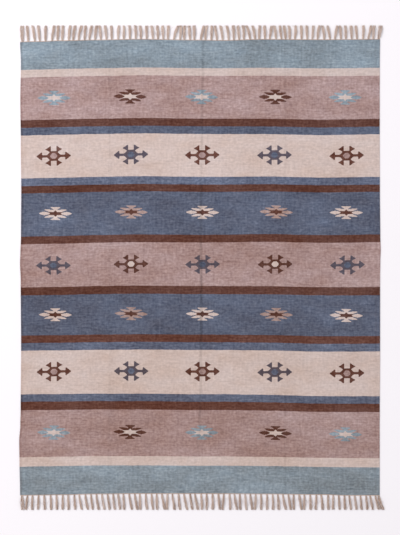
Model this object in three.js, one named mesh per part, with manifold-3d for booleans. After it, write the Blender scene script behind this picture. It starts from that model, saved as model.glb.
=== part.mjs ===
// A flat-woven wool kilim rug that lies flat on the floor, with a cotton fringe at each end.
// Sizes are millimetres. X runs across the rug, Y along it towards the head, and +Z is up.
import * as THREE from 'three';
import { mergeVertices } from 'three/addons/utils/BufferGeometryUtils.js';
import Module from 'manifold-3d';

const wasm = await Module();
wasm.setup();

// The woven cloth
const clothWidth = 1800;
const clothLength = 2270;
const clothThickness = 3;
const clothColumns = 18;
const clothRows = 16;

// The fold lines that run the whole length, from folding the rug in four for storage
const foldHalfWidth = 16;
const folds = [
  { x: -455, lift: 0.7 },
  { x: 2, lift: 1.4 },
  { x: 425, lift: 0.8 },
];

// How far the ends lie off a straight line, towards the head, at places across the rug
const endSway = [
  { x: -900, head: -9.5, foot: -9 },
  { x: -800, head: -7.5, foot: -7.5 },
  { x: -700, head: -3.5, foot: -6 },
  { x: -520, head: 0, foot: -2 },
  { x: -300, head: 4, foot: 0 },
  { x: 0, head: -0.5, foot: 0 },
  { x: 110, head: -2, foot: -0.5 },
  { x: 320, head: 3.5, foot: -2 },
  { x: 620, head: 1.5, foot: -5 },
  { x: 740, head: 3, foot: -9 },
  { x: 900, head: 4, foot: -9 },
];

// How far the two long sides bulge outwards, at places along the rug
const sideBulge = [
  { y: -1135, left: 2, right: 0.5 },
  { y: -960, left: 5.2, right: 0.5 },
  { y: -870, left: 6.5, right: 0.5 },
  { y: -790, left: 0.8, right: 0.5 },
  { y: -700, left: -1, right: 1 },
  { y: -420, left: -3.2, right: 2.5 },
  { y: -60, left: -1, right: 2.5 },
  { y: 30, left: 2.5, right: 3.5 },
  { y: 85, left: 0.5, right: 6 },
  { y: 150, left: -2.4, right: 3.5 },
  { y: 380, left: -3.8, right: 1.5 },
  { y: 640, left: -1.5, right: 0.5 },
  { y: 850, left: 1, right: 0.5 },
  { y: 1030, left: -2, right: 1 },
  { y: 1135, left: 2, right: 2.5 },
];

// The fringe: bunches of warp ends on a narrow strip that runs along each end of the cloth
const seamGap = 0.3;
const stripDepth = 4;
const stripThickness = 3;
const strandSteps = 4;
const strandThickness = 4.2;
const strandTopShare = 0.6;
const cornerStrandShare = 1.35;
const headStrandWidth = 13.5;
const footStrandWidth = 12;
const headFringeReach = 75;
const footFringeReach = 84;
const strandShortfall = 1.2;
const strandBow = 2.5;
const leanBend = 1.3;

// The strands of each end, read off the photograph: where the root and the tip lie across the rug
const strandPlaces = {
  head: [
    [-890, -893], [-861, -868], [-828, -840], [-803, -811], [-775, -773], [-742, -731],
    [-714, -711], [-690, -686], [-658, -651], [-636, -626], [-609, -593], [-579, -573],
    [-555, -543], [-526, -518], [-497, -504], [-469, -475], [-442, -445], [-410, -407],
    [-382, -383], [-351, -353], [-322, -325], [-296, -301], [-267, -268], [-236, -243],
    [-211, -215], [-184, -187], [-161, -159], [-131, -110], [-100, -96], [-79, -78],
    [-51, -54], [-29, -29], [4, 20], [26, 34], [57, 59], [85, 75],
    [113, 102], [143, 134], [170, 167], [196, 191], [220, 216], [251, 233],
    [275, 264], [297, 300], [325, 324], [350, 358], [381, 371], [408, 400],
    [429, 421], [450, 445], [476, 479], [509, 507], [537, 534], [563, 569],
    [589, 599], [623, 613], [651, 639], [676, 687], [706, 701], [731, 728],
    [760, 757], [787, 780], [817, 819], [844, 858], [868, 874], [895, 906],
  ],
  foot: [
    [-893, -889], [-865, -871], [-840, -840], [-809, -813], [-781, -778], [-749, -746],
    [-719, -717], [-688, -688], [-661, -659], [-630, -626], [-606, -592], [-575, -561],
    [-547, -537], [-519, -508], [-491, -479], [-463, -453], [-435, -427], [-410, -401],
    [-384, -380], [-355, -341], [-327, -313], [-302, -299], [-272, -264], [-243, -234],
    [-217, -214], [-191, -177], [-163, -164], [-138, -127], [-108, -99], [-80, -64],
    [-50, -37], [-26, -10], [6, 10], [33, 33], [63, 64], [92, 100],
    [119, 113], [148, 152], [172, 185], [199, 203], [226, 233], [251, 262],
    [279, 275], [306, 306], [335, 335], [364, 366], [390, 395], [415, 431],
    [443, 454], [469, 471], [497, 508], [523, 522], [552, 555], [583, 580],
    [608, 616], [642, 644], [668, 667], [695, 701], [724, 727], [748, 756],
    [775, 784], [804, 811], [832, 839], [853, 866], [879, 896], [895, 916],
  ],
};

const clothMaterial = new THREE.MeshStandardMaterial({ color: 0xa88e8c, roughness: 0.95, metalness: 0 });
const fringeMaterial = new THREE.MeshStandardMaterial({ color: 0xbfa294, roughness: 0.95, metalness: 0 });

const smooth = (t) => t * t * (3 - 2 * t);

// Reads a column of a table at a place between its rows, with a smooth step from row to row
function readTable(table, key, column, place) {
  const last = table.length - 1;
  if (place <= table[0][key]) return table[0][column];
  if (place >= table[last][key]) return table[last][column];
  const next = table.findIndex((row) => row[key] > place);
  const before = table[next - 1];
  const after = table[next];
  const share = (place - before[key]) / (after[key] - before[key]);
  return THREE.MathUtils.lerp(before[column], after[column], smooth(share));
}

// A repeatable value from -1 to 1 for one strand and one of its features
function scatter(index, feature) {
  const wave = Math.sin(index * 12.9898 + feature * 78.233) * 43758.5453;
  return 2 * (wave - Math.floor(wave)) - 1;
}

// How high the sheet is lifted off the floor by the fold lines
function foldLift(x) {
  let lift = 0;
  for (const fold of folds) {
    const share = Math.abs(x - fold.x) / foldHalfWidth;
    if (share < 1) lift += fold.lift * (1 - smooth(share));
  }
  return lift;
}

// Where the two ends of the cloth run, at a place across it
const headEdge = (x) => clothLength / 2 + readTable(endSway, 'x', 'head', x);
const footEdge = (x) => -clothLength / 2 + readTable(endSway, 'x', 'foot', x);

// Moves a place across the straight cloth to where it lies, in proportion to the bulge of its side
function acrossPlace(x, y) {
  const share = Math.abs(2 * x / clothWidth);
  return x < 0
    ? x - share * readTable(sideBulge, 'y', 'left', y)
    : x + share * readTable(sideBulge, 'y', 'right', y);
}

// The lengthwise grid lines of the cloth: an even row of them, and five at each fold
function gridLines() {
  const lines = folds.flatMap((fold) => [-1, -0.5, 0, 0.5, 1].map((k) => fold.x + k * foldHalfWidth));
  for (let i = 0; i <= clothColumns; i += 1) {
    const x = clothWidth * (i / clothColumns - 0.5);
    if (folds.every((fold) => Math.abs(x - fold.x) > 2 * foldHalfWidth)) lines.push(x);
  }
  return lines.sort((a, b) => a - b);
}

// Moves every point of a geometry to where the function puts it
function reshape(geometry, move) {
  const points = geometry.attributes.position;
  const point = new THREE.Vector3();
  for (let i = 0; i < points.count; i += 1) {
    point.fromBufferAttribute(points, i);
    move(point);
    points.setXYZ(i, point.x, point.y, point.z);
  }
  geometry.deleteAttribute('normal');
  geometry.deleteAttribute('uv');
  return mergeVertices(geometry, 1e-4);
}

function makeCloth() {
  const lines = gridLines();
  const columns = lines.length - 1;
  const sheet = new THREE.BoxGeometry(columns, 1, clothThickness, columns, clothRows, 1);
  return reshape(sheet, (point) => {
    const x = lines[Math.round(point.x + columns / 2)];
    point.x = acrossPlace(x, point.y * clothLength);
    point.y = THREE.MathUtils.lerp(footEdge(x), headEdge(x), point.y + 0.5);
    point.z += clothThickness / 2 + foldLift(x);
  });
}

function toSolid(geometry) {
  const vertProperties = new Float32Array(geometry.attributes.position.array);
  const triVerts = new Uint32Array(geometry.index.array);
  return new wasm.Manifold(new wasm.Mesh({ numProp: 3, vertProperties, triVerts }));
}

function toGeometry(solid) {
  const mesh = solid.getMesh();
  const geometry = new THREE.BufferGeometry();
  geometry.setAttribute('position', new THREE.BufferAttribute(mesh.vertProperties, 3));
  geometry.setIndex(new THREE.BufferAttribute(mesh.triVerts, 1));
  return geometry;
}

// The strip that the strands hang from. It follows the end of the cloth, a hair away from it.
function makeStrip(end) {
  const lines = gridLines();
  const columns = lines.length - 1;
  const strip = new THREE.BoxGeometry(columns, 1, stripThickness, columns, 1, 1);
  return reshape(strip, (point) => {
    const x = lines[Math.round(point.x + columns / 2)];
    const away = seamGap + stripDepth * (end.sign * point.y + 0.5);
    point.x = acrossPlace(x, end.sign * clothLength / 2);
    point.y = end.edge(x) + end.sign * away;
    point.z += stripThickness / 2;
  });
}

// One strand lies on the floor from the middle of the strip to the trimmed line of the fringe
function makeStrand(end, index) {
  const places = strandPlaces[end.name];
  const [rootX, tipX] = places[index];
  const corner = index === 0 || index === places.length - 1;
  const lean = tipX - rootX;
  const bow = strandBow * scatter(index, end.seed);
  const rootY = end.edge(rootX) + end.sign * (seamGap + stripDepth / 2);
  const shortfall = strandShortfall * Math.abs(scatter(index, end.seed + 1));
  const tipY = end.sign * (clothLength / 2 + end.reach - shortfall);
  const fullWidth = end.strandWidth * (corner ? cornerStrandShare : 1);
  const strand = new THREE.BoxGeometry(1, 1, 1, 1, strandSteps, 1);
  return reshape(strand, (point) => {
    const along = end.sign * point.y + 0.5;
    const swell = 0.86 + 0.14 * Math.sin(Math.PI * along);
    const top = point.z > 0;
    const middle = rootX + lean * along ** leanBend + bow * Math.sin(Math.PI * along) * along;
    point.x = middle + point.x * fullWidth * swell * (top ? strandTopShare : 1);
    point.y = THREE.MathUtils.lerp(rootY, tipY, along);
    point.z = top ? strandThickness * swell : 0;
  });
}

function makeFringe(end) {
  const pieces = [toSolid(makeStrip(end))];
  strandPlaces[end.name].forEach((places, i) => pieces.push(toSolid(makeStrand(end, i))));
  return toGeometry(wasm.Manifold.union(pieces));
}

function makePiece(name, geometry, material) {
  const piece = new THREE.Mesh(geometry, material);
  piece.name = name;
  return piece;
}

const ends = [
  { name: 'head', sign: 1, edge: headEdge, reach: headFringeReach, strandWidth: headStrandWidth, seed: 1 },
  { name: 'foot', sign: -1, edge: footEdge, reach: footFringeReach, strandWidth: footStrandWidth, seed: 11 },
];

const rug = new THREE.Group();
rug.add(makePiece('kilim_cloth', makeCloth(), clothMaterial));
for (const end of ends) {
  rug.add(makePiece(`fringe_${end.name}`, makeFringe(end), fringeMaterial));
}

// The origin lies under the middle of the whole rug, fringes included
const box = new THREE.Box3().setFromObject(rug);
const middle = box.getCenter(new THREE.Vector3());
rug.position.set(-middle.x, -middle.y, -box.min.z);

export default rug;
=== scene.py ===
# A flat-woven wool kilim rug with a cotton fringe at each end, lying face up on a pale floor.
# X runs across the rug, Y along it towards its head end, and Z is up. Lengths are metres,
# and the tables are in millimetres.
import math
from functools import partial

import bpy
import numpy as np
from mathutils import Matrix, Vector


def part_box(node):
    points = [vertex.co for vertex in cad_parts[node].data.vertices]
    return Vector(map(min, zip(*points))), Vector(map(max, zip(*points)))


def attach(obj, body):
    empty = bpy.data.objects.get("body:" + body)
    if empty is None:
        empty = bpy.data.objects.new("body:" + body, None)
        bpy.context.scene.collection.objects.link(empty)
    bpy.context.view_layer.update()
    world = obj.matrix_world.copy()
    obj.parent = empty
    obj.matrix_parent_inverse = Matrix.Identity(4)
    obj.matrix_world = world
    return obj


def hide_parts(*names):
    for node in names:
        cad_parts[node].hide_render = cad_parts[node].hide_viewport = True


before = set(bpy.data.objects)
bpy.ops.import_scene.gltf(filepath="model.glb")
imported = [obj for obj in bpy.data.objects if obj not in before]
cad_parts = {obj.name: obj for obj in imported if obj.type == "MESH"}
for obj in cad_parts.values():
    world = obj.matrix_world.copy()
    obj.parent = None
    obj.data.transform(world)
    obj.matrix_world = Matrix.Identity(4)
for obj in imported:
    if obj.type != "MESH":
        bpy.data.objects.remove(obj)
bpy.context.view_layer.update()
mm = 0.001
scene = bpy.context.scene
print("frame loaded:", sorted(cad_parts))

# Camera, light and floor: straight above the rug, in soft light from the upper left

studio = {
    "lens": 100.0,
    "sensorSize": 36.0,  # along the picture's longer side, in mm like the lens
    "viewHeight": 2.6825,  # how much of the floor the picture takes in from top to bottom
    "viewMiddle": (-0.0087, 0.0008),
    "viewDepth": 200.0,
    "viewTransform": "Standard",
    "worldColour": (1.0, 1.0, 1.0),
    "worldStrength": 0.86,
    "keyPlace": (-5.6, 4.4, 6.2),
    "keySize": 4.2,
    "keyPower": 480.0,
    "keyColour": (1.0, 0.985, 0.955),
    "floorSize": 60.0,
    "floorDrop": 0.0003,  # how far under the rug's lowest face the floor lies
    "floorColour": (0.84, 0.81, 0.85),
    "floorPatch": 0.8,  # the floor has faint clouds of this size, lighter and darker by up to this much
    "floorMottle": 0.02,
    "floorRoughness": 0.8,
    "floorShine": 0.1,
    "lightLevel": 1.23,  # what a white thing on the rug gives back, so a yarn's colour is divided by it
}


def makeCamera(values):
    camera = bpy.data.objects.new("camera", bpy.data.cameras.new("camera"))
    scene.collection.objects.link(camera)
    camera.data.lens = values["lens"]
    camera.data.sensor_width = values["sensorSize"]
    distance = values["viewHeight"] * values["lens"] / values["sensorSize"]
    camera.location = (*values["viewMiddle"], distance)
    camera.data.clip_end = values["viewDepth"]
    scene.camera = camera


def makeLights(values):
    world = bpy.data.worlds.new("paleStudio")
    world.use_nodes = True
    background = world.node_tree.nodes["Background"]
    background.inputs["Color"].default_value = (*values["worldColour"], 1.0)
    background.inputs["Strength"].default_value = values["worldStrength"]
    scene.world = world
    key = bpy.data.objects.new("softbox", bpy.data.lights.new("softbox", "AREA"))
    scene.collection.objects.link(key)
    key.data.size = values["keySize"]
    key.data.energy = values["keyPower"]
    key.data.color = values["keyColour"]
    key.location = values["keyPlace"]
    key.rotation_mode = "QUATERNION"
    key.rotation_quaternion = key.location.to_track_quat("Z", "Y")
    scene.view_settings.view_transform = values["viewTransform"]


makeCamera(studio)
makeLights(studio)
print("camera and lights are set")

# Helpers for shader nodes


def feed(tree, socket, value):
    # A socket is linked, and a number or a colour is set
    if isinstance(value, bpy.types.NodeSocket):
        tree.links.new(value, socket)
    else:
        socket.default_value = value


def addNode(tree, kind, *values):
    # A node whose first inputs get these values
    node = tree.nodes.new("ShaderNode" + kind)
    for socket, value in zip(node.inputs, values):
        feed(tree, socket, value)
    return node


def calc(operation, tree, *values):
    node = addNode(tree, "Math", *values)
    node.operation = operation
    return node.outputs[0]


plus = partial(calc, "ADD")
minus = partial(calc, "SUBTRACT")
times = partial(calc, "MULTIPLY")
timesPlus = partial(calc, "MULTIPLY_ADD")
over = partial(calc, "DIVIDE")


def stretch(tree, vector, factors):
    node = addNode(tree, "VectorMath", vector, factors)
    node.operation = "MULTIPLY"
    return node.outputs[0]


def splitVector(tree, vector):
    return addNode(tree, "SeparateXYZ", vector).outputs


def splitColour(tree, colour):
    return addNode(tree, "SeparateColor", colour).outputs


def joinVector(tree, x, y, z):
    return addNode(tree, "CombineXYZ", x, y, z).outputs[0]


def gammaOf(tree, colour, gamma):
    return addNode(tree, "Gamma", colour, gamma).outputs[0]


def cloudNoise(tree, vector, sizes, detail=1.0):
    # Soft noise about 0, from -0.5 to 0.5, whose clouds have these sizes in metres
    node = addNode(tree, "TexNoise", stretch(tree, vector, tuple(1 / size for size in sizes)))
    node.inputs["Scale"].default_value = 1.0
    node.inputs["Detail"].default_value = detail
    return minus(tree, node.outputs[0], 0.5)


def mixColours(tree, share, first, second):
    node = tree.nodes.new("ShaderNodeMix")
    node.data_type = "RGBA"
    feed(tree, node.inputs[0], share)
    feed(tree, node.inputs[6], first)
    feed(tree, node.inputs[7], second)
    return node.outputs[2]


def colourRamp(tree, place, stops, interpolation="CONSTANT"):
    # stops are (place, colour) rows, with places from 0 to 1
    node = addNode(tree, "ValToRGB", place)
    ramp = node.color_ramp
    ramp.interpolation = interpolation
    for end, (at, colour) in ((0, stops[0]), (1, stops[-1])):
        ramp.elements[end].position = at
        ramp.elements[end].color = colour
    for at, colour in stops[1:-1]:
        ramp.elements.new(at).color = colour
    return node.outputs


def makeGroup(name, inputs, outputs):
    # An input with the value None is a vector, and the others are numbers
    tree = bpy.data.node_groups.new(name, "ShaderNodeTree")
    for label, value in inputs.items():
        kind = "NodeSocketVector" if value is None else "NodeSocketFloat"
        socket = tree.interface.new_socket(label, in_out="INPUT", socket_type=kind)
        if value is not None:
            socket.default_value = value
    for label in outputs:
        tree.interface.new_socket(label, in_out="OUTPUT", socket_type="NodeSocketFloat")
    start = tree.nodes.new("NodeGroupInput")
    end = tree.nodes.new("NodeGroupOutput")
    return tree, start.outputs, end.inputs


def placeGroup(tree, group, values):
    node = addNode(tree, "Group")
    node.node_tree = group
    for label, value in values.items():
        feed(tree, node.inputs[label], value)
    return node.outputs


def makeMaterial(name):
    material = bpy.data.materials.new(name)
    material.use_nodes = True
    tree = material.node_tree
    return material, tree, tree.nodes["Principled BSDF"]


def readMap(tree, name):
    node = addNode(tree, "UVMap")
    node.uv_map = name
    return node.outputs[0]


def objectPlace(tree):
    return addNode(tree, "TexCoord").outputs["Object"]


def bumpInto(tree, shader, height, distance):
    node = addNode(tree, "Bump", 1.0)
    node.inputs["Distance"].default_value = distance
    feed(tree, node.inputs["Height"], height)
    feed(tree, shader.inputs["Normal"], node.outputs[0])


def arrange(tree, rows=7, width=220, height=230):
    for i, node in enumerate(tree.nodes):
        node.location = (width * (i // rows), -height * (i % rows))


def yarnColour(red, green, blue):
    # An sRGB colour, as the linear colour that shows as it under this studio's light, by sRGB's own curve
    srgb = np.array([red, green, blue]) / 255
    linear = ((srgb + 0.055) / 1.055) ** 2.4
    return (*(linear / studio["lightLevel"]), 1.0)


# Effects that the cloth and the fringe share

# Sizes are along the wefts, the warps and the depth: in flecks for the lines, and in metres for the clouds
yarnEffects = {
    "weftLines": (4.0, 0.75, 1.0),
    "warpLines": (0.6, 5.0, 1.0),
    "warpShare": 0.75,  # how much the lines along the warps show, next to those along the wefts
    "broadClouds": (0.17, 0.07, 1.0),
    "wideClouds": (0.55, 0.3, 1.0),
    "warmClouds": (0.07, 0.05, 1.0),
    "warmShare": 0.7,
    "darkWarmth": 1.1,  # how much warmer a cloud is, the darker it is
    "hairShape": (3.0, 1.0, 1.0),  # in grains
    "roughness": 0.9,
    "roughnessSpread": 0.25,
}


def makeHeatherGroup(values):
    # Wool and cotton yarn is never one even tone: flecks, lines along the wefts and the warps,
    # and broad clouds of dye. The tone is about 1. The warmth is about 0, and more in the darker clouds.
    inputs = {"Vector": None, "Fleck Length": 0.014, "Fleck Height": 0.009}
    inputs.update({"Flecks": 1.0, "Lines": 1.0, "Clouds": 1.0})
    group, given, result = makeGroup("yarnHeather", inputs, ["Tone", "Warmth"])
    vector = given["Vector"]
    perLength = over(group, 1.0, given["Fleck Length"])
    perHeight = over(group, 1.0, given["Fleck Height"])
    fleckPlace = stretch(group, vector, joinVector(group, perLength, perHeight, 1.0))
    flecks = cloudNoise(group, fleckPlace, (1.0, 1.0, 1.0), detail=2.0)
    wefts = cloudNoise(group, fleckPlace, values["weftLines"])
    warps = cloudNoise(group, fleckPlace, values["warpLines"])
    lines = timesPlus(group, warps, values["warpShare"], wefts)
    broad = cloudNoise(group, vector, values["broadClouds"], detail=2.0)
    wide = cloudNoise(group, vector, values["wideClouds"])
    clouds = plus(group, broad, wide)
    tone = timesPlus(group, flecks, given["Flecks"], 1.0)
    tone = timesPlus(group, lines, given["Lines"], tone)
    tone = timesPlus(group, clouds, given["Clouds"], tone)
    warm = cloudNoise(group, vector, values["warmClouds"], detail=2.0)
    warmth = times(group, warm, values["warmShare"])
    feed(group, result["Tone"], tone)
    feed(group, result["Warmth"], timesPlus(group, clouds, -values["darkWarmth"], warmth))
    arrange(group)
    return group


def makeFibreGroup(values):
    # The fine hair of the yarn, for its bump and its roughness
    inputs = {"Vector": None, "Grain": 0.0011}
    group, given, result = makeGroup("yarnFibre", inputs, ["Height", "Roughness"])
    perGrain = over(group, 1.0, given["Grain"])
    scaled = stretch(group, given["Vector"], joinVector(group, perGrain, perGrain, perGrain))
    hair = cloudNoise(group, scaled, values["hairShape"], detail=2.0)
    roughness = timesPlus(group, hair, values["roughnessSpread"], values["roughness"])
    feed(group, result["Height"], hair)
    feed(group, result["Roughness"], roughness)
    arrange(group)
    return group


heatherGroup = makeHeatherGroup(yarnEffects)
fibreGroup = makeFibreGroup(yarnEffects)
print("shared node groups are built")


def placeHeather(tree, vector, values):
    return placeGroup(tree, heatherGroup, {
        "Vector": vector,
        "Fleck Length": values["fleckLength"],
        "Fleck Height": values["fleckHeight"],
        "Flecks": values["flecks"],
        "Lines": values["lines"],
        "Clouds": values["clouds"],
    })


def setSurface(tree, shader, vector, height, values):
    # A yarn's roughness, shine and sheen. It gives back the height with the fine hair on it.
    fibre = placeGroup(tree, fibreGroup, {"Vector": vector, "Grain": values["grain"]})
    feed(tree, shader.inputs["Roughness"], fibre["Roughness"])
    shader.inputs["Specular IOR Level"].default_value = values["shine"]
    shader.inputs["Sheen Weight"].default_value = values["sheen"]
    shader.inputs["Sheen Roughness"].default_value = values["sheenRoughness"]
    return timesPlus(tree, fibre["Height"], values["fibreShare"], height)


# The floor


def makeFloor(values):
    half = values["floorSize"] / 2
    low = -values["floorDrop"]
    mesh = bpy.data.meshes.new("floor")
    corners = [(-half, -half, low), (half, -half, low), (half, half, low), (-half, half, low)]
    mesh.from_pydata(corners, [], [(0, 1, 2, 3)])
    floor = bpy.data.objects.new("floor", mesh)
    scene.collection.objects.link(floor)
    material, tree, shader = makeMaterial("paleFloor")
    mottle = values["floorMottle"]
    patches = cloudNoise(tree, objectPlace(tree), (values["floorPatch"],) * 3)
    cloud = timesPlus(tree, patches, mottle, 0.5)
    stops = []
    for at, change in ((0.0, -mottle), (1.0, mottle)):
        stops.append((at, (*[part + change for part in values["floorColour"]], 1.0)))
    feed(tree, shader.inputs["Base Color"], colourRamp(tree, cloud, stops, "LINEAR")[0])
    shader.inputs["Roughness"].default_value = values["floorRoughness"]
    shader.inputs["Specular IOR Level"].default_value = values["floorShine"]
    mesh.materials.append(material)


makeFloor(studio)

# The rug's outline, folds and sway, which the cloth and the fringe share

# The sizes, the ends' and the sides' tables and the folds are the solids' own
rug = {
    "width": 1.8,
    "length": 2.27,
    "thickness": 0.003,
    "foldHalfWidth": 0.016,
    "foldPlaces": (-455, 2, 425),
    "foldLifts": (0.7, 1.4, 0.8),
    "solidRows": 17,  # the solid cloth's rows of points along each side
}

# How far each line of the weave lies from a straight one, towards the head, in mm. A row is one line at
# its place y along the rug, and the columns are places x across it. The first and last rows are the ends.
swayAt = (-900, -800, -700, -520, -300, 0, 110, 320, 620, 740, 900)
swayRows = [
    (1135, (-9.5, -7.5, -3.5, 0, 4, -0.5, -2, 3.5, 1.5, 3, 4)),
    (960, (-9, -7, -4, -1, 3, 0, 0, 1, -2, -1, 1.5)),
    (690, (-8, -6, -4, 0, 3, 0, -0.5, -1, -6, -4, -1)),
    (400, (-8, -6.5, -5, 0, 3, 0, 0, 2, -3, -2, 0)),
    (140, (-9, -7.5, -6, -1, 2, 0, 1, 4, -1, 0, 2.5)),
    (-115, (-7, -5.5, -4, 0, 2.5, 0, -0.5, -1, -6, -6.5, -5)),
    (-385, (-5, -3.5, -2, 0, 2, 0, -0.5, -2, -8.5, -8, -7)),
    (-675, (0, 1, 2, 3, 3.5, 0, 0.5, -2.5, -9.5, -10, -10)),
    (-970, (-4, -2.5, -1, 2, 2, 0, 0.5, -1.5, -6, -7.5, -8)),
    (-1135, (-9, -7.5, -6, -2, 0, 0, -0.5, -2, -5, -9, -9)),
]

# How far the two long sides bulge outwards, in mm, at places y along the rug
bulgeAt = (-1135, -960, -870, -790, -700, -420, -60, 30, 85, 150, 380, 640, 850, 1030, 1135)
leftBulge = (2, 5.2, 6.5, 0.8, -1, -3.2, -1, 2.5, 0.5, -2.4, -3.8, -1.5, 1, -2, 2)
rightBulge = (0.5, 0.5, 0.5, 0.5, 1, 2.5, 2.5, 3.5, 6, 3.5, 1.5, 0.5, 0.5, 1, 2.5)


def smooth(share):
    # A smooth step, from 0 at a share of 0 to 1 at a share of 1
    share = np.clip(share, 0, 1)
    return share * share * (3 - 2 * share)


def tableShare(places, at):
    # The row before each place, and how far the place lies towards the next row, as a smooth step
    places = np.asarray(places, float)
    after = np.clip(np.searchsorted(places, at, side="right"), 1, len(places) - 1)
    return after - 1, smooth((at - places[after - 1]) / (places[after] - places[after - 1]))


def readTable(places, values, at):
    # Reads a table in mm at places in metres, with a smooth step from row to row
    values = np.asarray(values, float)
    row, share = tableShare(places, at / mm)
    return (values[row] + (values[row + 1] - values[row]) * share) * mm


def edgeLine(sign, x):
    # Where an end of the cloth runs: half the length, and the sway of that end
    sway = swayRows[0 if sign > 0 else -1][1]
    return sign * rug["length"] / 2 + readTable(swayAt, sway, x)


def acrossPlace(x, y):
    # A place moves out with the bulge of its side, in proportion to its distance from the middle
    share = np.abs(2 * x / rug["width"])
    left = readTable(bulgeAt, leftBulge, y)
    right = readTable(bulgeAt, rightBulge, y)
    return np.where(x < 0, x - share * left, x + share * right)


def weaveSway(x, y):
    # The sway between the rows of the table: in a straight line along y, in smooth steps along x
    rows = sorted(swayRows)
    levels = [row[0] * mm for row in rows]
    columns = np.stack([np.interp(y, levels, [row[1][k] for row in rows]) for k in range(len(swayAt))])
    column, share = tableShare(swayAt, x / mm)
    before = np.take_along_axis(columns, column[None], 0)[0]
    after = np.take_along_axis(columns, column[None] + 1, 0)[0]
    return (before + (after - before) * share) * mm


def foldLift(x):
    # Each fold lifts the sheet by a ridge: its lift times one less a smooth step of the distance
    lift = np.zeros_like(x)
    for place, height in zip(rug["foldPlaces"], rug["foldLifts"]):
        lift += height * mm * (1 - smooth(np.abs(x - place * mm) / rug["foldHalfWidth"]))
    return lift


# The solids' origin is under the middle of the whole rug, which isn't quite the middle of the cloth.
# The solid cloth's farthest points to the left and to the head show the shift.
clothLow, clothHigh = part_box("kilim_cloth")
solidPlaces = np.linspace(-0.5, 0.5, rug["solidRows"]) * rug["length"]
acrossShift = clothLow[0] - acrossPlace(-rug["width"] / 2, solidPlaces).min()
alongShift = clothHigh[1] - (rug["length"] / 2 + max(swayRows[0][1]) * mm)


def scatter(index, feature, steps=(12.9898, 78.233), height=43758.5453):
    # A repeatable value from -1 to 1 for one strand and one of its features, the same as in the solids:
    # what a tall sine wave leaves above its whole numbers
    wave = np.sin(index * steps[0] + feature * steps[1]) * height
    return 2 * (wave - np.floor(wave)) - 1


def makeMesh(name, points, faceSets, maps):
    # faceSets are whole arrays of faces, and maps are (name, a place for each point) pairs
    mesh = bpy.data.meshes.new(name)
    faces = [face for faceSet in faceSets for face in faceSet.tolist()]
    mesh.from_pydata(points.tolist(), [], faces)
    corners = np.empty(len(mesh.loops), int)
    mesh.loops.foreach_get("vertex_index", corners)
    for label, places in maps:
        layer = mesh.uv_layers.new(name=label)
        layer.data.foreach_set("uv", places[corners].astype(np.float32).ravel())
    mesh.polygons.foreach_set("use_smooth", np.ones(len(mesh.polygons), bool))
    mesh.update()
    piece = bpy.data.objects.new(name, mesh)
    scene.collection.objects.link(piece)
    return piece


# The cloth: one closed woven sheet

cloth = {
    "columnSpacing": 0.014,
    "rowSpacing": 0.012,
    "sideSteps": (0, 0.15, 0.5, 1.0, 1.6, 2.6, 4.2, 6.2, 8.4, 11, 15, 20, 26),  # mm in from a side
    "endSteps": (0, 0.15, 0.5, 1.0, 1.6, 2.6),  # mm in from an end
    "foldSteps": (0, 1.6, 3.4, 5.6, 8.2, 11.4, 16),  # mm to both sides of a fold
    "rimRadius": 0.0015,
    # The cord of the outermost warps and the furrow beside it: the rise, the place inwards, the half width
    "selvedge": [(0.00045, 0.003, 0.0024), (-0.00025, 0.0085, 0.002)],
    "waveCount": 14,
    "waveHeight": 0.0009,
    "waveLengths": (0.11, 0.42),
    "waveSeed": 5,
    "calmEnds": 0.05,  # the waves die out this near to the ends and to the sides
    "calmSides": 0.03,
    "cellSize": 0.4,  # a cell of the pattern has one motif or one edge of a band in its middle
    "cellReach": 0.49,  # how much of a cell lies to each side of its middle
    "bandReach": 0.006,
}


def gridLines(half, spacing, edgeSteps, middles, middleSteps):
    # Close together at both edges and at each middle, and even in between. Equal lines are merged.
    near = np.array(edgeSteps) * mm
    steps = np.array(middleSteps) * mm
    start = half - near[-1] - spacing
    even = np.linspace(-start, start, int(2 * start / spacing) + 1)
    for middle in middles:
        even = even[np.abs(even - middle * mm) > steps[-1] + spacing / 2]
    special = [middle * mm + side * steps for middle in middles for side in (-1, 1)]
    return np.unique(np.round(np.concatenate([even, half - near, near - half, *special]), 7))


def softWaves(x, y, values):
    # A sum of plane waves in random directions, from 0 up to about the wave height
    chance = np.random.default_rng(values["waveSeed"])
    total = np.zeros_like(x)
    for i in range(values["waveCount"]):
        angle = chance.uniform(0, math.pi)
        length = chance.uniform(*values["waveLengths"])
        phase = chance.uniform(0, 2 * math.pi)
        total += np.sin(2 * math.pi * (x * math.cos(angle) + y * math.sin(angle)) / length + phase)
    total /= math.sqrt(2 * values["waveCount"])
    return values["waveHeight"] * (0.5 + 0.5 * np.tanh(total))


def bandNumbers(y, edges, reach, size):
    # The band's number from the head, which turns to the next whole one at the edge between them.
    # Within reach of an edge it grows by one for each cell's size.
    places = edges[::-1] * mm
    numbers = np.arange(len(edges), 0, -1.0)
    knots = np.stack([places - reach, places + reach], 1).ravel()
    values = np.stack([numbers + reach / size, numbers - reach / size], 1).ravel()
    return np.interp(y, knots, values)


def motifCells(x, y, size, reach):
    # The number of the nearest motif's column and of its row, and in parts of a cell how far
    # from its middle the place lies, along wefts that are tilted as the motif is
    middleY, shift = np.array([row[:2] for row in motifRows]).T * mm
    middleX = np.array([motifColumns[k % 2] for k in range(len(motifRows))]) * mm + shift[:, None]
    tilt = np.array([row[2] for row in motifRows]) / 1000
    tallness = np.array([row[3] for row in motifRows])
    column = np.abs(x[..., None] - middleX.mean(0)).argmin(-1)
    row = np.abs(y[..., None] - middleY).argmin(-1)
    awayX = x - middleX[row, column]
    awayY = (y - middleY[row] - awayX * tilt[row, column]) / tallness[row]
    return column + np.clip(awayX / size, -reach, reach), row - np.clip(awayY / size, -reach, reach)


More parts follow.
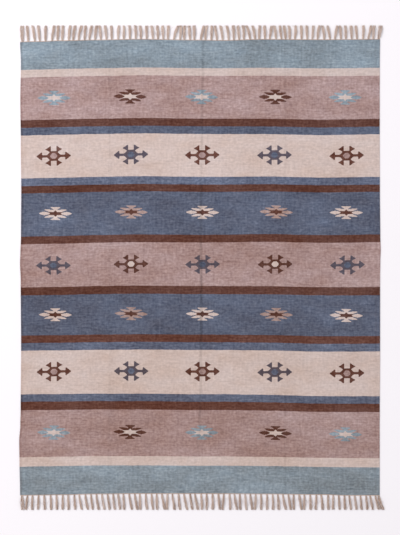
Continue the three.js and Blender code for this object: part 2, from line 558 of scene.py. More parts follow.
def netFaces(net):
    # The four-sided faces of a net of point numbers
    return np.stack([net[:-1, :-1], net[:-1, 1:], net[1:, 1:], net[1:, :-1]], -1).reshape(-1, 4)


def makeCloth(values):
    # A grid of warps x and wefts y is moved to where the rug lies: out with the bulge of its sides, and
    # along by the sway of the wefts. Its middle surface is the fold lift, the soft waves and half the
    # thickness up, and it is half the thickness deep on both sides of that, rounded at the rim and
    # a little thicker in the cord along each side. A row of the grid runs along the edge of each band.
    halfWidth = rug["width"] / 2
    halfLength = rug["length"] / 2
    folds = (rug["foldPlaces"], values["foldSteps"])
    across = gridLines(halfWidth, values["columnSpacing"], values["sideSteps"], *folds)
    bandEdges = halfLength / mm - np.cumsum([width for yarn, width, dye in bands])[:-1]
    reach = values["bandReach"]
    along = gridLines(halfLength, values["rowSpacing"], values["endSteps"], bandEdges, (0, reach / mm))
    x, y = np.meshgrid(across, along)
    placeX = acrossPlace(x, y)
    placeY = y + weaveSway(x, y)
    fromSide = halfWidth - np.abs(x)
    fromEnd = halfLength - np.abs(y)
    inward = np.clip(np.minimum(fromSide, fromEnd) / values["rimRadius"], 0, 1)
    rim = np.sqrt(1 - (1 - inward) ** 2)
    half = rug["thickness"] / 2
    thick = half
    for rise, place, width in values["selvedge"]:
        thick = thick + rise * np.exp(-(((fromSide - place) / width) ** 2))
    calm = smooth(fromEnd / values["calmEnds"]) * smooth(fromSide / values["calmSides"])
    lie = foldLift(x) + softWaves(x, y, values) * calm
    top = lie + half + rim * thick
    bottom = lie + half - rim * half

    rows, columns = x.shape
    upper = np.arange(rows * columns).reshape(rows, columns)
    inner = (slice(1, -1), slice(1, -1))
    lower = upper.copy()
    lower[inner] = rows * columns + np.arange((rows - 2) * (columns - 2)).reshape(rows - 2, -1)

    def bothSides(*fields):
        # A row for each point of the upper side, and then for each point of the lower side within the rim
        return np.stack([np.concatenate([field.ravel(), field[inner].ravel()]) for field in fields], -1)

    heights = np.concatenate([top.ravel(), bottom[inner].ravel()])
    points = np.column_stack([bothSides(placeX + acrossShift, placeY + alongShift), heights])

    # Four maps of the weave: its warps and wefts in metres, the numbers of the motifs' cells, the number
    # of the band, which changes at the band's edge, and how far the middle fold is and how dark it is
    size = values["cellSize"]
    foldAlong, foldAcross, foldDark = np.array(sorted(middleFold)).T
    fromFold = x - np.interp(y, foldAlong * mm, foldAcross * mm)
    maps = [
        ("middleFold", bothSides(fromFold, np.interp(y, foldAlong * mm, foldDark))),
        ("weave", bothSides(x, y)),
        ("motifCells", bothSides(*motifCells(x, y, size, values["cellReach"]))),
        ("bandNumbers", bothSides(x, bandNumbers(y, bandEdges, reach, size))),
    ]
    return makeMesh("kilim", points, [netFaces(upper), netFaces(lower)[:, ::-1]], maps)


# The yarns, as they show in the middle of the rug, and how heathered each one is
yarns = {
    "lightBlue": ((144, 156, 167), 1.25),
    "cream": ((217, 196, 190), 0.58),
    "mauve": ((176, 146, 143), 1.3),
    "brown": ((101, 62, 52), 2.3),
    "darkBlue": ((98, 104, 125), 1.7),
    "slate": ((92, 83, 94), 1.2),
    "pink": ((182, 153, 147), 1.0),
}

# The bands from the head to the foot: the yarn, the width in mm, and how light its dye came out
bands = [
    ("lightBlue", 139.5, 1.0), ("cream", 38.5, 1.0), ("mauve", 214.5, 1.025), ("brown", 38.5, 1.0),
    ("darkBlue", 38.5, 0.98), ("cream", 214.5, 1.02), ("darkBlue", 39, 1.1), ("brown", 36.5, 0.98),
    ("darkBlue", 215.5, 0.98), ("brown", 38.5, 1.0), ("mauve", 218, 1.0), ("brown", 40.5, 0.97),
    ("darkBlue", 203, 0.955), ("brown", 38, 1.02), ("darkBlue", 39, 1.02), ("cream", 222, 0.995),
    ("darkBlue", 37.5, 1.01), ("brown", 42, 1.0), ("mauve", 232.5, 0.98), ("cream", 46, 0.995),
    ("lightBlue", 138, 0.98),
]

# The motifs' middles across the rug, in mm: in the rows of stars, and in the rows of arrows
motifColumns = [(-728, -347, 11, 380, 730), (-734, -346, 12, 374, 735)]

# The rows of motifs from the head, by turns stars and arrows: the place along the rug, how far the row
# lies to the right, both in mm, how much each motif is tilted, in thousandths, and how tall they are
motifRows = [
    (851, -3, (-20, -40, -20, 0, -15), 1.05),
    (560, -1, (17, 17, 15, 30, 20), 1.02),
    (272.5, 1, (-25, -25, -15, -15, -15), 0.945),
    (12, 1, (-10, 10, 15, 30, 20), 0.97),
    (-237, 1, (-25, -35, -20, -10, -25), 0.945),
    (-525, 0, (20, -5, 10, 35, 15), 1.02),
    (-831, -2, (-30, -25, -10, -15, -20), 1.03),
]

# The yarns of the motifs, and how light each one's dye came out: a row for each row of them from the head,
# with the main and the centre yarn of the first, third and fifth motif, and then of the second and fourth
motifYarns = [
    (("lightBlue", 1.02), ("cream", 1.01), ("brown", 1.0), ("cream", 1.01)),
    (("brown", 1.05), ("mauve", 1.0), ("slate", 1.07), ("darkBlue", 1.0)),
    (("cream", 1.01), ("brown", 0.97), ("pink", 1.0), ("brown", 0.98)),
    (("slate", 0.98), ("darkBlue", 0.93), ("brown", 0.94), ("cream", 1.0)),
    (("cream", 0.99), ("brown", 0.91), ("pink", 0.94), ("brown", 0.91)),
    (("brown", 0.98), ("mauve", 0.97), ("slate", 1.0), ("darkBlue", 1.07)),
    (("lightBlue", 0.99), ("cream", 0.98), ("brown", 0.92), ("cream", 0.99)),
]

# The two motifs as a weaver charts them, one quarter of each. A row is a height above the middle, where
# a stretch of the main yarn starts and ends, where the main yarn around the middle ends, and where the
# centre yarn ends. The unit is 5 mm, and in between the rows the edges run straight.
starChart = [
    (0, 5.6, 16.9, 0, 5.6), (0.4, 5.9, 16.2, 0, 5.9), (0.8, 6.5, 15.2, 0, 6.5),
    (1.05, 7.1, 14.5, 0, 7.1), (1.3, 8, 14, 0, 7.6), (1.5, 8.8, 13.4, 0, 7.7),
    (1.55, 9.1, 13.3, 5.8, 2.1), (1.8, 10.6, 12.2, 6.8, 1.75), (1.9, 0, 0, 7, 1.6),
    (2.2, 0, 0, 7.8, 1.25), (2.6, 0, 0, 8.7, 0.8), (3, 0, 0, 9.6, 0.4),
    (3.3, 0, 0, 10.2, 0), (3.7, 0, 0, 10.9, 0), (3.75, 2.4, 11, 2.1, 0),
    (3.9, 2.8, 11.1, 2, 0), (4.2, 5.5, 10.8, 1.9, 0), (4.4, 9, 10.3, 1.9, 0),
    (4.45, 0, 0, 1.95, 0), (4.6, 0, 0, 2.2, 0), (5, 0, 0, 2.9, 0),
    (5.8, 0, 0, 4.4, 0), (6.2, 0, 0, 5, 0), (6.6, 0, 0, 4.9, 0),
    (6.75, 0, 0, 4, 0), (6.8, 0, 0, 0, 0),
]
arrowChart = [
    (0, 5, 17.5, 7.4, 3.6), (0.5, 5, 16.9, 7.3, 3.4), (1.15, 5, 16, 7.1, 2.9),
    (1.2, 11.3, 15.9, 7, 2.85), (1.9, 11.5, 15, 6, 2.2), (2.7, 11.5, 14, 5.3, 1.4),
    (2.8, 11.5, 13.9, 5.2, 1.2), (2.85, 11.5, 13.85, 5.15, 0), (3.5, 11.7, 13.1, 4.5, 0),
    (3.9, 11.9, 12.4, 4.2, 0), (3.95, 2.8, 4.2, 4.2, 0), (4.75, 2.8, 5.3, 3, 0),
    (4.8, 2.8, 5.4, 0, 0), (5.8, 2.75, 7.3, 0, 0), (6.5, 2.75, 8.7, 0, 0),
    (7.2, 2.75, 7.5, 0, 0), (8.4, 2.8, 5.3, 0, 0), (9.7, 2.95, 3.8, 0, 0),
    (9.75, 0, 0, 0, 0),
]

# The middle fold doesn't run quite straight: its places along and across the rug, in mm, and how much
# darker it is there, from wear and from painted shade of the crease
middleFold = [
    (1135, 15, 0.13), (921, 15, 0.16), (776, 10.5, 0.1), (482, 5.5, 0.08), (342, 4, 0.27),
    (189, 3.5, 0.17), (84, 4, 0.22), (-61, 7, 0.28), (-310, 5, 0.28), (-455, 2.5, 0.16),
    (-605, 2, 0.13), (-761, -1.5, 0.2), (-916, -10, 0.09), (-970, -8, 0.0), (-1135, 0, 0.08),
]

clothFinish = {
    "warpSpacing": 0.004,
    "weftSpacing": 0.0022,
    "warpDrift": (0.0022, (0.03, 0.09, 1.0)),  # how far the threads wander, in clouds of which size
    "weftDrift": (0.0016, (0.04, 0.015, 1.0)),
    "beadDepth": 0.6,  # how far a rib dips between two beads, in parts of its height
    "chartUnit": 0.005,
    "chartSpan": 20.0,  # what a ramp's full height and a colour's full value stand for, in chart units
    "chartStep": 0.002,  # the motifs' edges go in steps of one weft
    "edgeWobble": (0.004, (0.045, 1.0, 1.0)),  # how far the bands' edges wander, in clouds of which size
    "fleckLength": 0.015,
    "fleckHeight": 0.01,
    "flecks": 0.38,
    "lines": 0.22,
    "clouds": 0.235,
    "warmth": 0.026,
    "footWarmth": 0.0045,  # how much the warmth grows in each metre towards the foot
    # The folds' darker lines, from wear and painted shade of the creases: their half widths, and how dark
    # the quarter folds are
    "middleFoldWidth": 0.0095,
    "quarterFoldWidth": 0.0075,
    "quarterFoldDepth": 0.06,
    # Lines of painted shade along the sides: the side, how far in the line lies, its half width, and how
    # dark it is
    "sideShades": [(-1, 0.005, 0.0095, 0.15), (1, 0.003, 0.006, 0.05), (1, 0.021, 0.008, 0.06)],
    # how much of the painted side shade red, green and blue each take, so that it is a little warm
    "sideTint": (0.75, 1.0, 1.05),
    "patches": (1.2, (0.03, 0.08, 1.0)),  # how uneven this dark is, in clouds of which size
    # painted shade: how much darker in colour the threads' low places are than the high ones
    "threadShadeDepth": 0.2,  # how much darker the threads' low places are than the high ones
    "weaveHeight": 0.0009,
    "grain": 0.0011,
    "fibreShare": 0.25,
    "shine": 0.15,
    "sheen": 0.06,
    "sheenRoughness": 0.6,
    "eyeGamma": 2.2,  # about how the eye sees light
}


def makeWeaveGroup(values):
    # A weft-faced weave: the warps are ribs, and the wefts lie over them as beads, half a row up
    # on every second rib. Each profile is one less the square of the distance from its middle.
    inputs = {"Vector": None, "Warp Spacing": 0.004, "Weft Spacing": 0.002}
    group, given, result = makeGroup("kilimWeave", inputs, ["Height"])
    vector = given["Vector"]
    x, y, z = splitVector(group, vector)
    places = []
    for place, drift, spacing in ((x, "warpDrift", "Warp Spacing"), (y, "weftDrift", "Weft Spacing")):
        reach, sizes = values[drift]
        wandered = timesPlus(group, cloudNoise(group, vector, sizes), reach, place)
        places.append(over(group, wandered, given[spacing]))
    rib, row = places
    odd = calc("MODULO", group, calc("ABSOLUTE", group, calc("FLOOR", group, rib)), 2.0)
    bead = timesPlus(group, odd, 0.5, row)
    profiles = []
    for phase in (rib, bead):
        middle = timesPlus(group, calc("FRACT", group, phase), 2.0, -1.0)
        profiles.append(minus(group, 1.0, times(group, middle, middle)))
    ribProfile, beadProfile = profiles
    depth = values["beadDepth"]
    beads = timesPlus(group, beadProfile, depth, 1 - depth)
    feed(group, result["Height"], times(group, ribProfile, beads))
    arrange(group)
    return group


def chartRamp(tree, height, chart, span):
    # Each of the four columns is one channel of a colour, in parts of the span
    stops = [(row[0] / span, tuple(value / span for value in row[1:])) for row in chart]
    colour, alpha = colourRamp(tree, height, stops, "LINEAR")
    return [*splitColour(tree, colour), alpha]


def motifMasks(tree, values):
    # The cell's whole number picks the motif, and what is left over is the place in it
    cellX, cellY, z = splitVector(tree, readMap(tree, "motifCells"))
    column = calc("ROUND", tree, cellX)
    row = calc("ROUND", tree, cellY)
    distances = []
    for cell, number in ((cellX, column), (cellY, row)):
        away = times(tree, minus(tree, cell, number), cloth["cellSize"])
        stepped = calc("SNAP", tree, calc("ABSOLUTE", tree, away), values["chartStep"])
        stepped = plus(tree, stepped, values["chartStep"] / 2)
        distances.append(over(tree, stepped, values["chartUnit"] * values["chartSpan"]))
    across, height = distances
    span = values["chartSpan"]
    stars = chartRamp(tree, height, starChart, span)
    arrows = chartRamp(tree, height, arrowChart, span)
    isArrow = calc("MODULO", tree, row, 2.0)
    edges = []
    for star, arrow in zip(stars, arrows):
        more = minus(tree, arrow, star)
        edges.append(timesPlus(tree, more, isArrow, star))
    start, end, around, centre = edges
    afterStart = calc("GREATER_THAN", tree, across, start)
    between = times(tree, afterStart, calc("LESS_THAN", tree, across, end))
    main = calc("MAXIMUM", tree, between, calc("LESS_THAN", tree, across, around))
    middle = calc("LESS_THAN", tree, across, centre)
    odd = calc("MODULO", tree, column, 2.0)
    number = timesPlus(tree, row, 2.0, odd)
    yarnPlace = over(tree, plus(tree, number, 0.5), 2.0 * len(motifYarns))
    return main, middle, yarnPlace


def yarnStop(at, name, tone):
    # A yarn's stop in a ramp. The alpha holds half of how heathered the yarn is
    shown, heather = yarns[name]
    return at, (*yarnColour(*[tone * value for value in shown])[:3], heather / 2)


def lineMask(tree, place, middle, width):
    # One on the line, and down to nothing at its width, as one less the square of the distance
    away = over(tree, minus(tree, place, middle), width)
    return calc("MAXIMUM", tree, minus(tree, 1.0, times(tree, away, away)), 0.0)


def makeClothMaterial(values):
    material, tree, shader = makeMaterial("kilimWool")
    weave = readMap(tree, "weave")
    x, y, z = splitVector(tree, weave)

    # Bands, whose edges wander a little, as the wefts do
    wander, sizes = values["edgeWobble"]
    numbers = splitVector(tree, readMap(tree, "bandNumbers"))[1]
    wobble = times(tree, cloudNoise(tree, weave, sizes, detail=2.0), wander / cloth["cellSize"])
    bandNumber = calc("FLOOR", tree, plus(tree, numbers, wobble))
    place = over(tree, plus(tree, bandNumber, 0.5), float(len(bands)))
    stops = [yarnStop(k / len(bands), name, dye) for k, (name, width, dye) in enumerate(bands)]
    colour, heather = colourRamp(tree, place, stops)

    # Motifs
    *masks, yarnPlace = motifMasks(tree, values)
    kinds = 2 * len(motifYarns)
    for part, mask in enumerate(masks):
        stops = [yarnStop(k / kinds, *motifYarns[k // 2][2 * (k % 2) + part]) for k in range(kinds)]
        yarn, yarnHeather = colourRamp(tree, yarnPlace, stops)
        colour = mixColours(tree, mask, colour, yarn)
        heather = timesPlus(tree, minus(tree, yarnHeather, heather), mask, heather)

    # Heather, thread by thread. A fleck adds the same to red, green and blue as the eye sees them, as
    # undyed fibres do. The yarn's alpha held half of how heathered it is.
    heather = times(tree, heather, 2.0)
    tones = placeHeather(tree, weave, values)
    red, green, blue = splitColour(tree, gammaOf(tree, colour, 1 / values["eyeGamma"]))
    strength = times(tree, heather, green)
    added = times(tree, minus(tree, tones["Tone"], 1.0), strength)
    towardsFoot = times(tree, y, -values["footWarmth"])
    warmth = timesPlus(tree, tones["Warmth"], values["warmth"], towardsFoot)
    red = plus(tree, plus(tree, red, added), warmth)
    green = plus(tree, green, added)
    blue = minus(tree, plus(tree, blue, added), warmth)
    colour = gammaOf(tree, joinVector(tree, red, green, blue), values["eyeGamma"])

    # The folds and the sides are a little darker, and the sides the more so, the more heathered the yarn
    # is: in the folds from wear and painted shade of the creases, along the sides as painted shade
    fromFold, foldDepth, z = splitVector(tree, readMap(tree, "middleFold"))
    foldWearAndShade = times(tree, lineMask(tree, fromFold, 0.0, values["middleFoldWidth"]), foldDepth)
    for fold in rug["foldPlaces"][::2]:
        mask = lineMask(tree, x, fold * mm, values["quarterFoldWidth"])
        foldWearAndShade = timesPlus(tree, mask, values["quarterFoldDepth"], foldWearAndShade)
    # Painted shade in lines along the sides, deeper for the more heathered yarns
    paintedSideShade = 0.0
    for side, inward, width, depth in values["sideShades"]:
        mask = lineMask(tree, x, side * (rug["width"] / 2 - inward), width)
        paintedSideShade = timesPlus(tree, mask, depth, paintedSideShade)
    patchDepth, sizes = values["patches"]
    patchy = timesPlus(tree, cloudNoise(tree, weave, sizes, detail=2.0), patchDepth, 1.0)
    light = minus(tree, 1.0, times(tree, foldWearAndShade, patchy))
    paintedSideShade = times(tree, times(tree, paintedSideShade, patchy), heather)
    sideLights = [timesPlus(tree, paintedSideShade, -share, light) for share in values["sideTint"]]

    # The weave's threads, with painted shade between the beads: the colour is darker where they lie low
    spacings = {"Warp Spacing": values["warpSpacing"], "Weft Spacing": values["weftSpacing"]}
    threads = placeGroup(tree, makeWeaveGroup(values), {"Vector": weave, **spacings})
    fromMean = minus(tree, threads["Height"], 0.5)
    shade = timesPlus(tree, fromMean, values["threadShadeDepth"], 1.0)
    colour = stretch(tree, stretch(tree, colour, joinVector(tree, *sideLights)), shade)
    feed(tree, shader.inputs["Base Color"], colour)

    height = setSurface(tree, shader, weave, threads["Height"], values)
    bumpInto(tree, shader, height, values["weaveHeight"])
    arrange(tree, 12)
    return material


kilim = makeCloth(cloth)
kilim.data.materials.append(makeClothMaterial(clothFinish))
print("cloth:", len(kilim.data.polygons), "faces")

# The fringes: bunches of warp ends that come out of a twined cord along each end

fringe = {
    "strandWidth": {"head": 0.0135, "foot": 0.012},
    "cornerShare": 1.35,  # how much wider the outermost strands are
    "seamGap": 0.0003,
    "stripDepth": 0.004,
    "reach": {"head": 0.075, "foot": 0.084},  # how far the tips lie beyond the cloth's flat length
    "seed": {"head": 1, "foot": 11},
    "shortfall": 0.0012,  # by how much, at most, a strand is shorter than that
    "bow": 0.0025,  # how far a strand bows, and the power with which its lean grows
    "leanBend": 1.3,
    "yarnCount": 7,
    "yarnRadius": 0.0015,
    "yarnSteps": 13,
    "yarnSides": 6,
    "yarnRise": 0.0008,
    "yarnUneven": 0.25,  # how unevenly the yarns stand round the strand
    "turns": 0.7,  # how often they wind round it, and how much the strands differ in that
    "turnSpread": (0.5, 1.4),
    "sameWay": 0.75,  # the share of the strands that wind one way
    "bunchWidth": 0.78,  # in parts of the solid strand, and how much wider it is half way
    "swell": 0.14,
    "rootShare": 0.62,  # how narrow it starts, and over which part of its length it widens
    "rootLength": 0.2,
    "tipSplay": 0.25,  # how much its tip spreads, and from where on
    "tipStart": 0.375,
    "arch": 0.005,  # how far it lifts off the floor half way
    "startRise": 0.4,  # how much of the yarns' rise is there at the root, and where it is whole
    "riseLength": 0.09,
    "cuts": (-0.022, 0.008),  # how much shorter or longer each yarn is cut
    "drift": 0.0007,  # how far each yarn wanders to a side, and how far it waves
    "waviness": 0.0004,
    "endThinning": 0.35,  # how much a yarn thins towards its end, and over which part of its length
    "thinLength": 0.1,
    "tones": {"head": (0.3, 1.0), "foot": (0.0, 0.85)},  # from the darkest to the lightest of the shades
    "hairCount": 18,
    "hairRadius": 0.00022,
    "hairSteps": 7,
    "hairSides": 3,
    "hairStarts": (0.0, 0.75),  # where along the strand a hair leaves it, and how much farther it runs
    "hairRuns": (0.25, 0.55),
    "hairSpread": 0.3,  # how far beside the middle a hair leaves the strand, in strand widths
    "hairLift": 0.0045,
    "hairStray": 0.009,  # how far it strays, with which power of its length, and how far it curls
    "hairBend": 1.4,
    "hairCurl": 0.0015,
    "hairTones": (0.1, 0.9),
    "cordPitch": 0.0085,
    "cordSteps": 7,
    "cordSides": 5,
    "cordInset": 0.0012,
    "cordOrbit": 0.42,  # in parts of the cord's radius, and the rest is the ply's own radius
    "plyShares": (1.0, 0.0, 0.3),  # how much the plies show on the yarns, the hairs and the cords
}

# The strands of each end, read off the photograph: where the root and the tip lie across the rug, in mm
headStrands = [
    (-890, -893), (-861, -868), (-828, -840), (-803, -811), (-775, -773), (-742, -731), (-714, -711),
    (-690, -686), (-658, -651), (-636, -626), (-609, -593), (-579, -573), (-555, -543), (-526, -518),
    (-497, -504), (-469, -475), (-442, -445), (-410, -407), (-382, -383), (-351, -353), (-322, -325),
    (-296, -301), (-267, -268), (-236, -243), (-211, -215), (-184, -187), (-161, -159), (-131, -110),
    (-100, -96), (-79, -78), (-51, -54), (-29, -29), (4, 20), (26, 34), (57, 59), (85, 75), (113, 102),
    (143, 134), (170, 167), (196, 191), (220, 216), (251, 233), (275, 264), (297, 300), (325, 324),
    (350, 358), (381, 371), (408, 400), (429, 421), (450, 445), (476, 479), (509, 507), (537, 534),
    (563, 569), (589, 599), (623, 613), (651, 639), (676, 687), (706, 701), (731, 728), (760, 757),
    (787, 780), (817, 819), (844, 858), (868, 874), (895, 906),
]
footStrands = [
    (-893, -889), (-865, -871), (-840, -840), (-809, -813), (-781, -778), (-749, -746), (-719, -717),
    (-688, -688), (-661, -659), (-630, -626), (-606, -592), (-575, -561), (-547, -537), (-519, -508),
    (-491, -479), (-463, -453), (-435, -427), (-410, -401), (-384, -380), (-355, -341), (-327, -313),
    (-302, -299), (-272, -264), (-243, -234), (-217, -214), (-191, -177), (-163, -164), (-138, -127),
    (-108, -99), (-80, -64), (-50, -37), (-26, -10), (6, 10), (33, 33), (63, 64), (92, 100), (119, 113),
    (148, 152), (172, 185), (199, 203), (226, 233), (251, 262), (279, 275), (306, 306), (335, 335),
    (364, 366), (390, 395), (415, 431), (443, 454), (469, 471), (497, 508), (523, 522), (552, 555),
    (583, 580), (608, 616), (642, 644), (668, 667), (695, 701), (724, 727), (748, 756), (775, 784),
    (804, 811), (832, 839), (853, 866), (879, 896), (895, 916),
]


def tubes(paths, radii, sides):
    # paths is (tubes, steps, 3) and radii (tubes, steps). A ring of points stands square to the path at
    # each step: the radius times the cosine along its side and the sine along its up direction.
    ahead = np.gradient(paths, axis=1)
    ahead /= np.linalg.norm(ahead, axis=-1, keepdims=True)
    side = np.cross(ahead, (0.0, 0.0, 1.0))
    side /= np.linalg.norm(side, axis=-1, keepdims=True)
    up = np.cross(side, ahead)
    angle = 2 * math.pi * np.arange(sides) / sides
    ring = np.cos(angle)[:, None] * side[:, :, None] + np.sin(angle)[:, None] * up[:, :, None]
    points = paths[:, :, None] + radii[:, :, None, None] * ring
    count, steps = radii.shape
    number = np.arange(count * steps * sides).reshape(count, steps, sides)
    after = np.roll(number, -1, axis=2)
    walls = np.stack([number[:, :-1], number[:, 1:], after[:, 1:], after[:, :-1]], -1).reshape(-1, 4)
    walls = walls[:, ::-1]
    caps = np.concatenate([number[:, 0], number[:, -1, ::-1]])
    length = np.cumsum(np.linalg.norm(np.diff(paths, axis=1, prepend=paths[:, :1]), axis=-1), axis=1)
    alongMap = np.repeat(length[:, :, None], sides, 2)
    roundMap = np.broadcast_to(np.arange(sides) / sides, alongMap.shape)
    return points.reshape(-1, 3), [walls, caps], np.stack([alongMap, roundMap], -1).reshape(-1, 2)


def pathsOf(*places):
    # The paths of tubes, from arrays whose last axis runs along a tube
    paths = np.stack(np.broadcast_arrays(*places), -1)
    return paths.reshape(-1, *paths.shape[-2:])


def strandLines(end, sign, values):
    # The middle line of each strand: its root, its tip line, its lean, its bow and its width
    rootX, tipX = np.array(headStrands if end == "head" else footStrands).T * mm
    index = np.arange(len(rootX))
    seed = values["seed"][end]
    corner = (index == 0) | (index == len(rootX) - 1)
    bow = values["bow"] * scatter(index, seed)
    rootY = edgeLine(sign, rootX) + sign * (values["seamGap"] + values["stripDepth"] / 2)
    short = values["shortfall"] * np.abs(scatter(index, seed + 1))
    tipY = sign * (rug["length"] / 2 + values["reach"][end] - short)
    width = values["strandWidth"][end] * np.where(corner, values["cornerShare"], 1.0)
    return [column[:, None, None] for column in (rootX, rootY, tipY, tipX - rootX, bow, width)]


def strandAcross(lines, t, values):
    # The lean grows with a power of the share of the length, and the bow is a sine that grows with it
    rootX, rootY, tipY, lean, bow, width = lines
    return rootX + lean * t ** values["leanBend"] + bow * np.sin(math.pi * t) * t


def makeYarns(end, lines, chance, values):
    # The yarns of a strand wind round its middle line in a flat oval, loosely, and spread at the tip. The
    # place across is the middle line and the oval's reach times the cosine of the winding. The height is
    # the rise times one plus its sine, and an arch from the root to the tip. Like the next two functions,
    # it gives the paths, the radii, the sides of a tube, and each tube's tone.
    rootX, rootY, tipY, lean, bow, width = lines
    count = values["yarnCount"]
    size = (len(rootX), count, 1)
    radius = values["yarnRadius"]
    t = np.linspace(0, 1, values["yarnSteps"])
    turn = values["turns"] * chance.uniform(*values["turnSpread"], rootX.shape)
    turn = turn * np.where(chance.random(rootX.shape) < values["sameWay"], 1, -1)
    phase = 2 * math.pi * (np.arange(count)[:, None] / count + chance.random(rootX.shape))
    phase = phase + chance.normal(0, values["yarnUneven"], size)
    winding = phase + 2 * math.pi * turn * t
    rootShare = values["rootShare"]
    tipStart = values["tipStart"]
    bunch = values["bunchWidth"] + values["swell"] * np.sin(math.pi * t)
    bunch = bunch * (rootShare + (1 - rootShare) * smooth(t / values["rootLength"]))
    bunch = bunch * (1 + values["tipSplay"] * smooth((t - tipStart) / (1 - tipStart)))
    cut = chance.uniform(*values["cuts"], size)
    wander = chance.normal(0, values["drift"], size) * t
    wander = wander + chance.normal(0, values["waviness"], size) * np.sin(2 * math.pi * t)
    placeX = strandAcross(lines, t, values) + (width / 2 - radius) * bunch * np.cos(winding) + wander
    placeY = rootY + (tipY - rootY) * t * (1 + cut)
    rise = smooth(values["startRise"] + t * (1 - values["startRise"]) / values["riseLength"])
    placeZ = radius + values["yarnRise"] * (1 + np.sin(winding)) * rise
    placeZ = placeZ + values["arch"] * np.sin(math.pi * t)
    paths = pathsOf(placeX, placeY, placeZ)
    thinLength = values["thinLength"]
    thin = 1 - values["endThinning"] * smooth((t - 1 + thinLength) / thinLength)
    radii = np.broadcast_to(radius * thin, paths.shape[:2])
    return paths, radii, values["yarnSides"], chance.uniform(*values["tones"][end], len(paths))


def makeHairs(lines, chance, values):
    # Loose hairs leave the strands part of the way along. A hair strays with a power of its own length,
    # curls in a sine and sinks to the floor.
    rootX, rootY, tipY, lean, bow, width = lines
    size = (len(rootX), values["hairCount"], 1)
    radius = values["hairRadius"]
    s = np.linspace(0, 1, values["hairSteps"])
    start = chance.uniform(*values["hairStarts"], size)
    end = np.minimum(start + chance.uniform(*values["hairRuns"], size), 1.0)
    t = start + (end - start) * s
    stray = chance.normal(0, values["hairStray"], size) * s ** values["hairBend"]
    curl = chance.normal(0, values["hairCurl"], size) * np.sin(2 * math.pi * s)
    beside = chance.uniform(-values["hairSpread"], values["hairSpread"], size) * width
    placeX = strandAcross(lines, t, values) + beside + stray + curl
    placeY = rootY + (tipY - rootY) * t
    placeZ = radius + values["hairLift"] * (1 - smooth(s))
    paths = pathsOf(placeX, placeY, placeZ)
    radii = np.full(paths.shape[:2], radius)
    return paths, radii, values["hairSides"], chance.uniform(*values["hairTones"], len(paths))


def makeCords(sign, values):
    # Two cords of two plies each run along the end of the cloth, twined opposite ways: each ply is a
    # circle round the cord's middle, with one turn to a pitch
    end = rug["width"] / 2 - values["cordInset"]
    steps = int(rug["width"] / values["cordPitch"] * values["cordSteps"])
    x = np.linspace(-end, end, steps)
    radius = values["stripDepth"] / 4
    orbit = radius * values["cordOrbit"]
    middles = radius * np.array([1, 1, 3, 3])[:, None] + values["seamGap"]
    spin = np.array([1, 1, -1, -1])[:, None] * 2 * math.pi * x / values["cordPitch"]
    spin = spin + math.pi * np.array([0, 1, 0, 1])[:, None]
    placeX = acrossPlace(x, np.full_like(x, sign * rug["length"] / 2))
    placeY = edgeLine(sign, x) + sign * (middles + orbit * np.cos(spin))
    placeZ = radius + orbit * np.sin(spin)
    paths = pathsOf(placeX, placeY, placeZ)
    return paths, np.full(paths.shape[:2], radius - orbit), values["cordSides"], np.ones(len(paths))


def makeFringe(end, sign, values):
    chance = np.random.default_rng(values["seed"][end])
    lines = strandLines(end, sign, values)
    yarnTubes = makeYarns(end, lines, chance, values)
    parts = [yarnTubes, makeHairs(lines, chance, values), makeCords(sign, values)]
    rows = []  # the place of each point, its place on its yarn, its tone, and how much its plies show
    faceSets = []
    total = 0
    for (paths, radii, sides, tones), plyShare in zip(parts, values["plyShares"]):
        points, faces, yarnPlaces = tubes(paths, radii, sides)
        tones = np.repeat(tones, len(points) // len(tones))
        rows.append(np.column_stack([points, yarnPlaces, tones, np.full_like(tones, plyShare)]))
        faceSets += [face + total for face in faces]
        total += len(points)
    points, yarnMap, toneMap = np.split(np.concatenate(rows), (3, 5), axis=1)
    points = points + (acrossShift, alongShift, 0.0)
    return makeMesh(f"{end}Fringe", points, faceSets, [("yarn", yarnMap), ("tone", toneMap)])


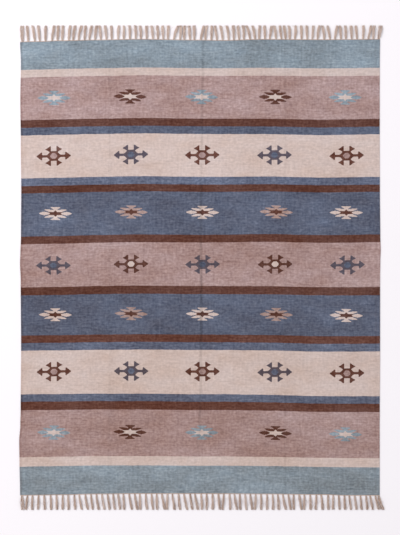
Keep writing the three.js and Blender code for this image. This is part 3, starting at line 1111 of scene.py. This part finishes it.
fringeFinish = {
    "shades": [(0.0, (172, 146, 133)), (0.45, (206, 181, 169)), (1.0, (226, 204, 193))],
    "plies": 2.0,
    "plyPitch": 0.0095,
    "plyHeight": 0.0006,
    # how much darker in colour the hollows between the plies are, as painted shade
    "plyDepth": 0.22,
    "fleckLength": 0.006,
    "fleckHeight": 0.02,
    "flecks": 0.35,
    "lines": 0.1,
    "clouds": 0.25,
    "warmth": 0.08,
    "grain": 0.0008,
    "fibreShare": 0.2,
    "shine": 0.15,
    "sheen": 0.05,
    "sheenRoughness": 0.5,
}


def makeFringeMaterial(values):
    material, tree, shader = makeMaterial("fringeCotton")
    along, around, z = splitVector(tree, readMap(tree, "yarn"))
    tone, plyShare, z = splitVector(tree, readMap(tree, "tone"))
    place = objectPlace(tree)

    # The plies wind round each yarn: one turn to each pitch along it. A ply is one less the square of the
    # distance from its middle, and it doesn't show on the hairs.
    turn = plus(tree, over(tree, along, values["plyPitch"]), around)
    winding = calc("FRACT", tree, times(tree, turn, values["plies"]))
    middle = timesPlus(tree, winding, 2.0, -1.0)
    hollow = times(tree, times(tree, middle, middle), plyShare)
    ply = minus(tree, 1.0, hollow)

    # The colour is darker in the hollows between the plies, as painted shade. A ply's mean height is two
    # thirds, and there the shade is the yarn's own
    tones = placeHeather(tree, place, values)
    stops = [(at, yarnColour(*shown)) for at, shown in values["shades"]]
    base = colourRamp(tree, tone, stops, "LINEAR")[0]
    depth = values["plyDepth"]
    plyShade = timesPlus(tree, ply, depth, 1 - depth * 2 / 3)
    shade = times(tree, tones["Tone"], plyShade)
    warmth = times(tree, tones["Warmth"], values["warmth"])
    redder = times(tree, shade, plus(tree, 1.0, warmth))
    bluer = times(tree, shade, minus(tree, 1.0, warmth))
    feed(tree, shader.inputs["Base Color"], stretch(tree, base, joinVector(tree, redder, shade, bluer)))
    height = setSurface(tree, shader, place, ply, values)
    bumpInto(tree, shader, times(tree, height, plyShare), values["plyHeight"])
    arrange(tree, 8)
    return material


cotton = makeFringeMaterial(fringeFinish)
fringes = []
for end, sign in (("head", 1), ("foot", -1)):
    piece = makeFringe(end, sign, fringe)
    piece.data.materials.append(cotton)
    fringes.append(piece)
    print(f"{end} fringe:", len(piece.data.polygons), "faces")

# What each piece stands for

standsFor = [
    (kilim, "kilim_cloth", "cloth"),
    (fringes[0], "fringe_head", "fringe"),
    (fringes[1], "fringe_foot", "fringe"),
]
for piece, node, slot in standsFor:
    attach(piece, "root")
    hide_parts(node)

print("pieces are joined to the frame")
